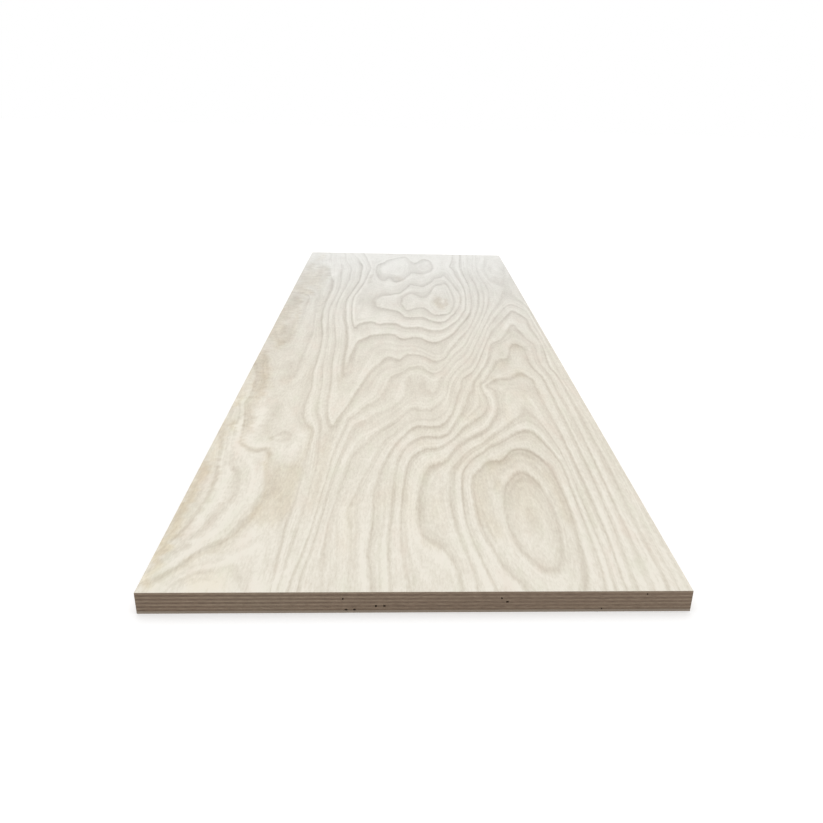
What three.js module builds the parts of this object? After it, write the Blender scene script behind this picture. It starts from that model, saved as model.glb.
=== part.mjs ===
// Plywood sheet, cut to a shelf-board size.
//
// An odd number of core plies, laid crosswise and lengthwise in turn, is pressed between two thin
// face veneers whose grain runs along the sheet. Every veneer is one solid, glued face to face.
// Units are millimetres: X across the sheet, Y along its face grain, Z up through its thickness.
// The origin is the middle of the underside.

import * as THREE from "three";

// The trimmed board.
const SHEET_WIDTH = 400;
const SHEET_LENGTH = 1200;

// The veneers. A crossband's grain runs along X, a long ply's and a face's along Y.
const FACE_THICKNESS = 0.4;
const BACK_THICKNESS = 0.4;
const CROSSBAND_THICKNESS = 1.55;
const LONG_PLY_THICKNESS = 1.58;
const CORE_PLIES = 11;

// A long ply is laid up from strips, and where two strips don't quite meet the saw leaves a small
// hole through the ply's thickness at the near end. `ply` counts the long plies from the face down,
// and `across` goes from -1 at the left edge to 1 at the right edge.
const CORE_GAP_DEPTH = 14;
const CORE_GAPS = [
  { ply: 1, across: 0.832, width: 1 },
  { ply: 2, across: -0.27, width: 1 },
  { ply: 2, across: 0.301, width: 1.1 },
  { ply: 3, across: 0.322, width: 1.9 },
  { ply: 4, across: -0.152, width: 1.7 },
  { ply: 4, across: -0.122, width: 1.6 },
  { ply: 5, across: -0.259, width: 2.1 },
  { ply: 5, across: -0.229, width: 2.1 },
  { ply: 5, across: 0.669, width: 1.1 },
];

// Stack heights are kept to 1/1024 mm, which 32-bit vertices hold exactly, so that two glued
// veneers meet on one plane.
const HEIGHT_STEPS_PER_MM = 1024;
const toHeightStep = (height) => Math.round(height * HEIGHT_STEPS_PER_MM) / HEIGHT_STEPS_PER_MM;

// The sheet's colours: pale sanded birch on the faces, sawn and darker at the edges of the plies.
const faceWood = new THREE.MeshStandardMaterial({ color: 0xe3dcce, roughness: 0.55, metalness: 0 });
const crossbandWood = new THREE.MeshStandardMaterial({ color: 0x96826e, roughness: 0.8, metalness: 0 });
const longPlyWood = new THREE.MeshStandardMaterial({ color: 0x7e6b58, roughness: 0.85, metalness: 0 });

// A veneer's plan: the sheet's rectangle, with a notch in its near end for each gap, left to right.
function veneerOutline(gaps) {
  const halfWidth = SHEET_WIDTH / 2;
  const nearEnd = -SHEET_LENGTH / 2;
  const farEnd = SHEET_LENGTH / 2;
  const outline = new THREE.Shape();
  outline.moveTo(-halfWidth, nearEnd);
  for (const gap of gaps) {
    const middle = gap.across * halfWidth;
    outline.lineTo(middle - gap.width / 2, nearEnd);
    outline.lineTo(middle - gap.width / 2, nearEnd + CORE_GAP_DEPTH);
    outline.lineTo(middle + gap.width / 2, nearEnd + CORE_GAP_DEPTH);
    outline.lineTo(middle + gap.width / 2, nearEnd);
  }
  outline.lineTo(halfWidth, nearEnd);
  outline.lineTo(halfWidth, farEnd);
  outline.lineTo(-halfWidth, farEnd);
  outline.closePath();
  return outline;
}

// One veneer between two heights of the stack.
function veneer(name, bottom, top, material, gaps = []) {
  const geometry = new THREE.ExtrudeGeometry(veneerOutline(gaps), {
    depth: top - bottom,
    bevelEnabled: false,
  });
  const mesh = new THREE.Mesh(geometry, material);
  mesh.name = name;
  mesh.position.z = bottom;
  return mesh;
}

// The lay-up from the face down. The core starts and ends with a crossband.
function layUp() {
  const veneers = [{ name: "face_veneer", thickness: FACE_THICKNESS, material: faceWood }];
  for (let place = 0; place < CORE_PLIES; place++) {
    const number = Math.floor(place / 2) + 1;
    if (place % 2 === 0) {
      veneers.push({
        name: `crossband_${number}`,
        thickness: CROSSBAND_THICKNESS,
        material: crossbandWood,
      });
    } else {
      veneers.push({
        name: `long_ply_${number}`,
        thickness: LONG_PLY_THICKNESS,
        material: longPlyWood,
        gaps: CORE_GAPS.filter((gap) => gap.ply === number),
      });
    }
  }
  veneers.push({ name: "back_veneer", thickness: BACK_THICKNESS, material: faceWood });
  return veneers;
}

const plywoodSheet = new THREE.Group();
plywoodSheet.name = "plywood_sheet";

let height = 0;
for (const { name, thickness, material, gaps } of layUp().reverse()) {
  const bottom = toHeightStep(height);
  height += thickness;
  plywoodSheet.add(veneer(name, bottom, toHeightStep(height), material, gaps));
}

export default plywoodSheet;
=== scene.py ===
import math

import bpy
import numpy as np
from mathutils import Matrix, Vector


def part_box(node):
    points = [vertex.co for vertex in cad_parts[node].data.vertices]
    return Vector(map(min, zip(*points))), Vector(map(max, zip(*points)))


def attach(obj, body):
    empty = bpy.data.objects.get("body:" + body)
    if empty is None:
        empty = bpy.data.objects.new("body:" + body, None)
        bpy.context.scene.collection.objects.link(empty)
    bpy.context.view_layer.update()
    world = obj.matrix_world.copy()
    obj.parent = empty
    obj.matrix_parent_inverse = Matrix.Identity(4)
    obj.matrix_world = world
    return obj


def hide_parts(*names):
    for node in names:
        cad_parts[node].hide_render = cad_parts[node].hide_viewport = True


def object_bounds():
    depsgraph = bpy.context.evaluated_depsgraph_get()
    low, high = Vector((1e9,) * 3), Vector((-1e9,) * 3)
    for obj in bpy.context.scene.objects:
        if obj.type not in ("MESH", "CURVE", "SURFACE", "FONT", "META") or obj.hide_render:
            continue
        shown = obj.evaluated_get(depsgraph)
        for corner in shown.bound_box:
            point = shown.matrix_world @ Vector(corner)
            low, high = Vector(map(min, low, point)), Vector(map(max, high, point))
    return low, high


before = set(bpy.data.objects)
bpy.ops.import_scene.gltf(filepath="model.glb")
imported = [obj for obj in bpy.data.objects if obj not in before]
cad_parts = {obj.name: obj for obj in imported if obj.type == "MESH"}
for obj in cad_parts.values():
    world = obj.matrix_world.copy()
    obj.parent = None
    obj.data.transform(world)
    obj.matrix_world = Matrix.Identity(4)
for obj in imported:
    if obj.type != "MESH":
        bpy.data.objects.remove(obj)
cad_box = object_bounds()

# ------------------------------------------------------------------ camera
# It stands half a metre before the near end, a little left of the sheet's middle, and looks down
# along the whole length. A small sideways shift frames the sheet.

CAMERA_PLACE = (-0.0160, -1.0586, 0.3513)
CAMERA_DOWN = math.radians(22.84)
CAMERA_TURN = math.radians(-3.02)
CAMERA_ROLL = math.radians(1.61)
SENSOR_WIDTH = 36.0
LENS_LENGTH = 33.82
LENS_SHIFT = -0.0287

lens = bpy.data.cameras.new("camera")
lens.sensor_width = SENSOR_WIDTH
lens.lens = LENS_LENGTH
lens.shift_x = LENS_SHIFT
camera = bpy.data.objects.new("camera", lens)
bpy.context.scene.collection.objects.link(camera)
camera.matrix_world = (
    Matrix.Translation(CAMERA_PLACE)
    @ Matrix.Rotation(CAMERA_TURN, 4, "Z")
    @ Matrix.Rotation(math.pi / 2 - CAMERA_DOWN, 4, "X")
    @ Matrix.Rotation(CAMERA_ROLL, 4, "Z")
)
bpy.context.scene.camera = camera
bpy.context.scene.view_settings.view_transform = "Standard"


# ------------------------------------------------------------------ floor and light
# The sheet lies flat on a white studio floor under one wide soft lamp, inside a pale tent
# that lights it from all sides. The floor is matt and keeps the sheet's shadow.

FLOOR_HALF = 6.0
FLOOR_POINTS = 41
FLOOR_LEVEL_TO = 1.5
FLOOR_FALL = 0.0004
FLOOR_GAP = 0.00005
FLOOR_DARK = (0.80, 0.80, 0.80, 1.0)
FLOOR_PALE = (0.82, 0.82, 0.82, 1.0)
WHITE = (1.0, 1.0, 1.0, 1.0)
WHITE_FROM = 0.9
WHITE_AT = 1.6
NEAR_WHITE = 0.36
LAMP_SIZE = 3.2
LAMP_HEIGHT = 2.6
LAMP_BACK = 0.3
LAMP_POWER = 44.0
TENT_LIGHT = 0.55


class Value:
    """Wraps one output of a node tree. + - * / between values and numbers add Math nodes, and
    node() adds any other node."""

    def __init__(self, tree, socket=None):
        self.tree = tree
        self.socket = socket

    def node(self, kind, settings=None, sockets=None, output=0):
        """Adds a node of that kind: its settings first, then its sockets' values or links.
        Returns the named or numbered output."""
        made = self.tree.nodes.new("ShaderNode" + kind)
        for name, setting in (settings or {}).items():
            setattr(made, name, setting)
        for name, entry in (sockets or {}).items():
            if isinstance(entry, Value):
                self.tree.links.new(entry.socket, made.inputs[name])
            else:
                made.inputs[name].default_value = entry
        return Value(self.tree, made.outputs[output])

    def math(self, operation, *others):
        """One Math node, with this value first and the others after it."""
        return self.node("Math", {"operation": operation}, dict(enumerate((self, *others))))

    def __add__(self, other):
        return self.math("ADD", other)

    def __sub__(self, other):
        return self.math("SUBTRACT", other)

    def __mul__(self, other):
        return self.math("MULTIPLY", other)

    def __truediv__(self, other):
        return self.math("DIVIDE", other)

    def __neg__(self):
        return self.math("MULTIPLY", -1.0)

    def __rsub__(self, other):
        return -self + other

    __radd__ = __add__
    __rmul__ = __mul__


def new_material(name):
    """An empty node material, as (material, start of its tree, its output node)."""
    material = bpy.data.materials.new(name)
    material.use_nodes = True
    material.node_tree.nodes.clear()
    output = material.node_tree.nodes.new("ShaderNodeOutputMaterial")
    return material, Value(material.node_tree), output


def seen_directly(tree):
    """1 for rays from the camera, or seen in gloss or through glass, otherwise 0."""
    kinds = [tree.node("LightPath", output=o) for o in
             ("Is Camera Ray", "Is Glossy Ray", "Is Transmission Ray")]
    return kinds[0].math("MAXIMUM", kinds[1]).math("MAXIMUM", kinds[2])


def grid_faces(wide, long):
    """The square faces between the points of a wide x long grid, numbered row by row."""
    corner = (np.arange(long - 1)[:, None] * wide + np.arange(wide - 1)[None]).reshape(-1, 1)
    return corner + np.array([[0, 1, wide + 1, wide]])


def mesh_object(name, points, faces):
    """A new mesh object in the scene, from an array of points and lists of their numbers."""
    mesh = bpy.data.meshes.new(name)
    mesh.from_pydata(points.tolist(), [], faces)
    made = bpy.data.objects.new(name, mesh)
    bpy.context.scene.collection.objects.link(made)
    return made


# The floor is level round the sheet, and further out falls by 0.4 mm in each metre. It lies a
# twentieth of a millimetre under the sheet, so that the two don't share a plane.
reach = np.linspace(-FLOOR_HALF, FLOOR_HALF, FLOOR_POINTS)
x, y = np.meshgrid(reach, reach)
fall = FLOOR_FALL * np.clip(np.hypot(x, y) - FLOOR_LEVEL_TO, 0.0, None)
points = np.stack([x, y, -fall - FLOOR_GAP], axis=-1).reshape(-1, 3)
floor = mesh_object("studio_floor", points, grid_faces(FLOOR_POINTS, FLOOR_POINTS).tolist())

# Seen directly, the floor also glows white, weakly up to WHITE_FROM metres from the middle and
# in full from WHITE_AT, so that it runs into the white tent without an edge.
floor_paint, tree, output = new_material("floor_paint")
mottle = tree.node("TexNoise", sockets={"Scale": 3.0, "Detail": 4.0})
paint = tree.node("Mix", {"data_type": "RGBA"}, {0: mottle, 6: FLOOR_DARK, 7: FLOOR_PALE}, 2)
matt = tree.node("BsdfDiffuse", sockets={"Color": paint})
away = tree.node("VectorMath", {"operation": "LENGTH"},
                 {0: tree.node("TexCoord", output="Object")}, output="Value")
whiter = away.node("MapRange", {"interpolation_type": "SMOOTHSTEP"}, {
    "Value": away, "From Min": WHITE_FROM, "From Max": WHITE_AT,
    "To Min": NEAR_WHITE, "To Max": 1.0})
white = tree.node("Emission", sockets={"Color": WHITE, "Strength": seen_directly(tree) * whiter})
lit = tree.node("AddShader", sockets={0: matt, 1: white})
tree.tree.links.new(lit.socket, output.inputs["Surface"])
floor.data.materials.append(floor_paint)

tent = bpy.data.worlds.new("studio_tent")
bpy.context.scene.world = tent
tent.use_nodes = True
tent.node_tree.nodes.clear()
tree = Value(tent.node_tree)
glow = tree.node("Background", sockets={
    "Color": WHITE, "Strength": seen_directly(tree) * (1.0 - TENT_LIGHT) + TENT_LIGHT})
output = tent.node_tree.nodes.new("ShaderNodeOutputWorld")
tent.node_tree.links.new(glow.socket, output.inputs["Surface"])

lamp_data = bpy.data.lights.new("wide_lamp", "AREA")
lamp_data.size = LAMP_SIZE
lamp_data.energy = LAMP_POWER
lamp = bpy.data.objects.new("wide_lamp", lamp_data)
lamp.location = (0.0, LAMP_BACK, LAMP_HEIGHT)
lamp.rotation_euler = (-math.atan2(LAMP_BACK, LAMP_HEIGHT), 0.0, 0.0)
bpy.context.scene.collection.objects.link(lamp)


# ------------------------------------------------------------------ sawn core
# Eleven birch veneers, peeled a little over 1.5 mm thick, crossbands and long plies in turn,
# glued with a dark resin and trimmed square with a fine saw. At the two ends the long plies
# show end grain and the crossbands side grain; along the two sides it is the other way round.

# Millimetres in a metre; then heights, thicknesses and distances in millimetres, but
# GLUE_REACH is a share of a ply.
MM = 1000.0
CORE_BOTTOM = 0.4004
CROSSBAND = 1.55
LONG_PLY = 1.58
PLY_PAIR = CROSSBAND + LONG_PLY
WANDER = 0.10
# Heights up to which the painted bounce light from the floor is full, and from which it is gone.
BOUNCE_FULL_BELOW = 1.7
BOUNCE_GONE_ABOVE = 2.5
SIDES_APART = 700.0
GLUE_REACH = 0.07


def blend(tree, amount, first, second, kind="MIX"):
    """Colour between first and second, by an amount from 0 to 1."""
    return tree.node("Mix", {"data_type": "RGBA", "blend_type": kind},
                     {0: amount, 6: first, 7: second}, output=2)


def between(value, low, high):
    """0 below low, 1 above high, and a smooth rise between them."""
    return value.node("MapRange", {"interpolation_type": "SMOOTHSTEP"},
                      {"Value": value, "From Min": low, "From Max": high})


def tone(red, green, blue):
    """A colour as painters mix it, 0 to 255 a channel, in linear light."""
    channels = np.array([red, green, blue]) / 255.0
    return (*np.where(channels <= 0.04045, channels / 12.92,
                      ((channels + 0.055) / 1.055) ** 2.4).tolist(), 1.0)


SIDE_GRAIN = tone(137, 117, 98), tone(175, 155, 133)
END_GRAIN = tone(111, 93, 77), tone(149, 128, 108)
GLUE_BROWN = tone(86, 66, 52)
CORE_OLIVE = tone(134, 124, 106)
# The pale of the painted floor bounce at the foot of the edge.
BOUNCE_PALE = tone(174, 160, 145)


def place_in_mm(tree):
    """The object's own x, y and z in millimetres, and its normal's size in x, y and z."""
    spot = tree.node("TexCoord", output="Object")
    mm = tree.node("VectorMath", {"operation": "SCALE"}, {0: spot, "Scale": MM})
    facing = tree.node("VectorMath", {"operation": "ABSOLUTE"},
                       {0: tree.node("TexCoord", output="Normal")})
    split = [tree.node("SeparateXYZ", sockets={0: v}, output=o) for v in (mm, facing)
             for o in ("X", "Y", "Z")]
    return split[:3], split[3:]


def noise(tree, place, detail=2.0, rough=0.5):
    """Soft noise from about -1 to 1. The place is three values or numbers, and a place in
    millimetres times a factor gives that many waves to the millimetre."""
    vector = tree.node("CombineXYZ", sockets=dict(enumerate(place)))
    fac = tree.node("TexNoise", sockets={"Vector": vector, "Scale": 1.0, "Detail": detail,
                                         "Roughness": rough})
    return (fac - 0.5) * 4.0


def finish_skin(tree, output, wood, roughness, height, strength, distance):
    """Wood that scatters light: a principled shader with its bump, on the material's output."""
    bump = tree.node("Bump", sockets={"Height": height, "Strength": strength,
                                      "Distance": distance})
    skin = tree.node("BsdfPrincipled", sockets={
        "Base Color": wood, "Roughness": roughness, "Normal": bump})
    tree.tree.links.new(skin.socket, output.inputs["Surface"])


def sawn_edge_material(name):
    """Sawn plywood edge. The ply is read from the height above the back veneer, after the glue
    lines' slow wander of a tenth of a millimetre. The side grain is streaked along the edge and
    the end grain is darker and finely pitted. Both are blotched, and the plies differ more at the
    left of an end than at its right. The lowest two millimetres are painted pale: painted
    bounce light from the white floor."""
    material, tree, output = new_material(name)
    (x, y, z), (face_x, face_y, _) = place_in_mm(tree)
    at_end = between(face_y, 0.4, 0.6)
    along = at_end * x + (1.0 - at_end) * y + face_x * SIDES_APART
    wander = noise(tree, (along * 0.02, z * 0.22, at_end * 9.0), 3.0) * WANDER
    pair = (z + wander - CORE_BOTTOM) / PLY_PAIR
    ply = pair * 2.0
    inside = ply.math("FRACT")
    number = ply.math("FLOOR")
    crossband = 1.0 - pair.math("FRACT").math("GREATER_THAN", CROSSBAND / PLY_PAIR)
    side_grain = 1.0 - (crossband - at_end).math("ABSOLUTE")

    streak = noise(tree, (along * 0.06, z * 5.0, number), 3.0, 0.65)
    blotch = noise(tree, (along * 0.16, z * 0.9, number + 20.0), 3.0, 0.6)
    fibre = noise(tree, (along * 0.4, z * 14.0, number + 40.0), 2.0, 0.6)
    pits = noise(tree, (along * 3.0, z * 4.5, number + 80.0), 3.0, 0.7)
    log = noise(tree, (along * 0.004, number * 7.3, 0.0), 1.0)
    drift = noise(tree, (along * 0.0075, 0.3, at_end * 5.0), 1.0)

    shade = log * 0.16 + drift * 0.10 + blotch * 0.50
    side = shade + streak * 0.30 + fibre * 0.18 + 0.5
    end = shade + pits * 0.30 + streak * 0.10 + 0.5
    side_colour = blend(tree, side, *SIDE_GRAIN)
    end_colour = blend(tree, end, *END_GRAIN)
    contrast = 1.0 - between(along, -160.0, 60.0) * 0.35
    wood = blend(tree, (side_grain - 0.5) * contrast + 0.5, end_colour, side_colour)

    glue = 1.0 - between(0.5 - (inside - 0.5).math("ABSOLUTE"), 0.0, GLUE_REACH)
    wood = blend(tree, glue * contrast * 0.62, wood, GLUE_BROWN)
    olive = between(drift, 0.1, 1.2) * 0.35
    wood = blend(tree, olive, wood, CORE_OLIVE)
    # Painted bounce light: the lowest two millimetres of the edge are painted pale, as if lit by the
    # white floor.
    floor_bounce = (1.0 - between(z + blotch * 0.3, BOUNCE_FULL_BELOW, BOUNCE_GONE_ABOVE)) * 0.92
    wood = blend(tree, floor_bounce, wood, BOUNCE_PALE)

    saw = noise(tree, (along * 0.7 + z * 0.15, z * 0.05, 3.0), 2.0)
    height = pits * (1.0 - side_grain) * 0.6 + streak * side_grain * 0.5 + saw * 0.5
    finish_skin(tree, output, wood, 0.78 + pits * 0.05, height, 0.35, 0.0002)
    return material


for kind, plies in (("crossband", 6), ("long_ply", 5)):
    sawn = sawn_edge_material(f"sawn_{kind}")
    for number in range(1, plies + 1):
        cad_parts[f"{kind}_{number}"].material_slots[0].material = sawn


# ------------------------------------------------------------------ face veneer
# The face is one leaf of pale birch, peeled from the log, laid with its grain along the
# sheet and sanded to four tenths of a millimetre. Peeling cuts the yearly rings at a low
# angle, so they spread into wide nested figures round each swelling of the log.

# Heights and the eased arris, in metres.
SHEET_TOP = round(cad_box[1][2], 6)
FACE_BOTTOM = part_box("face_veneer")[0].z
ARRIS = 0.00018

# Half the sheet's sides in millimetres, and the cells of a leaf's grid. The figure is long, so
# its places along the sheet are divided by SQUEEZE.
HALF_WIDTH, HALF_LENGTH = (round(side * MM, 3) for side in cad_box[1][:2])
CELLS_ACROSS = 240
CELLS_ALONG = 380
SQUEEZE = 2.5

# The plate that carries the years: the step along a growth line and the plate's unit, in
# millimetres; how loosely it holds its points; what is added to a squared distance, so that no
# line takes a point alone; and how many points are worked out at a time. Then the fewest and
# most years to the millimetre.
LINE_STEP = 9.0
PLATE_UNIT = 100.0
PLATE_EASE = 1e-4
NEAREST = 2e-4
AT_A_TIME = 3000
FLATTEST = 0.012
STEEPEST = 0.4

# Strokes: the step along a route in millimetres, how many reaches away a stroke ends, and the
# fraying of its sides, a shift for every FRAY_STEP along the sheet that is larger at the first
# place across it than at the second.
STROKE_STEP = 1.5
CUT_OFF = 2.5
FRAY_STEP = 5.0
FRAY_PLACES = (25, 70)
FRAY_SHIFTS = (2.6, 0.8)

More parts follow.
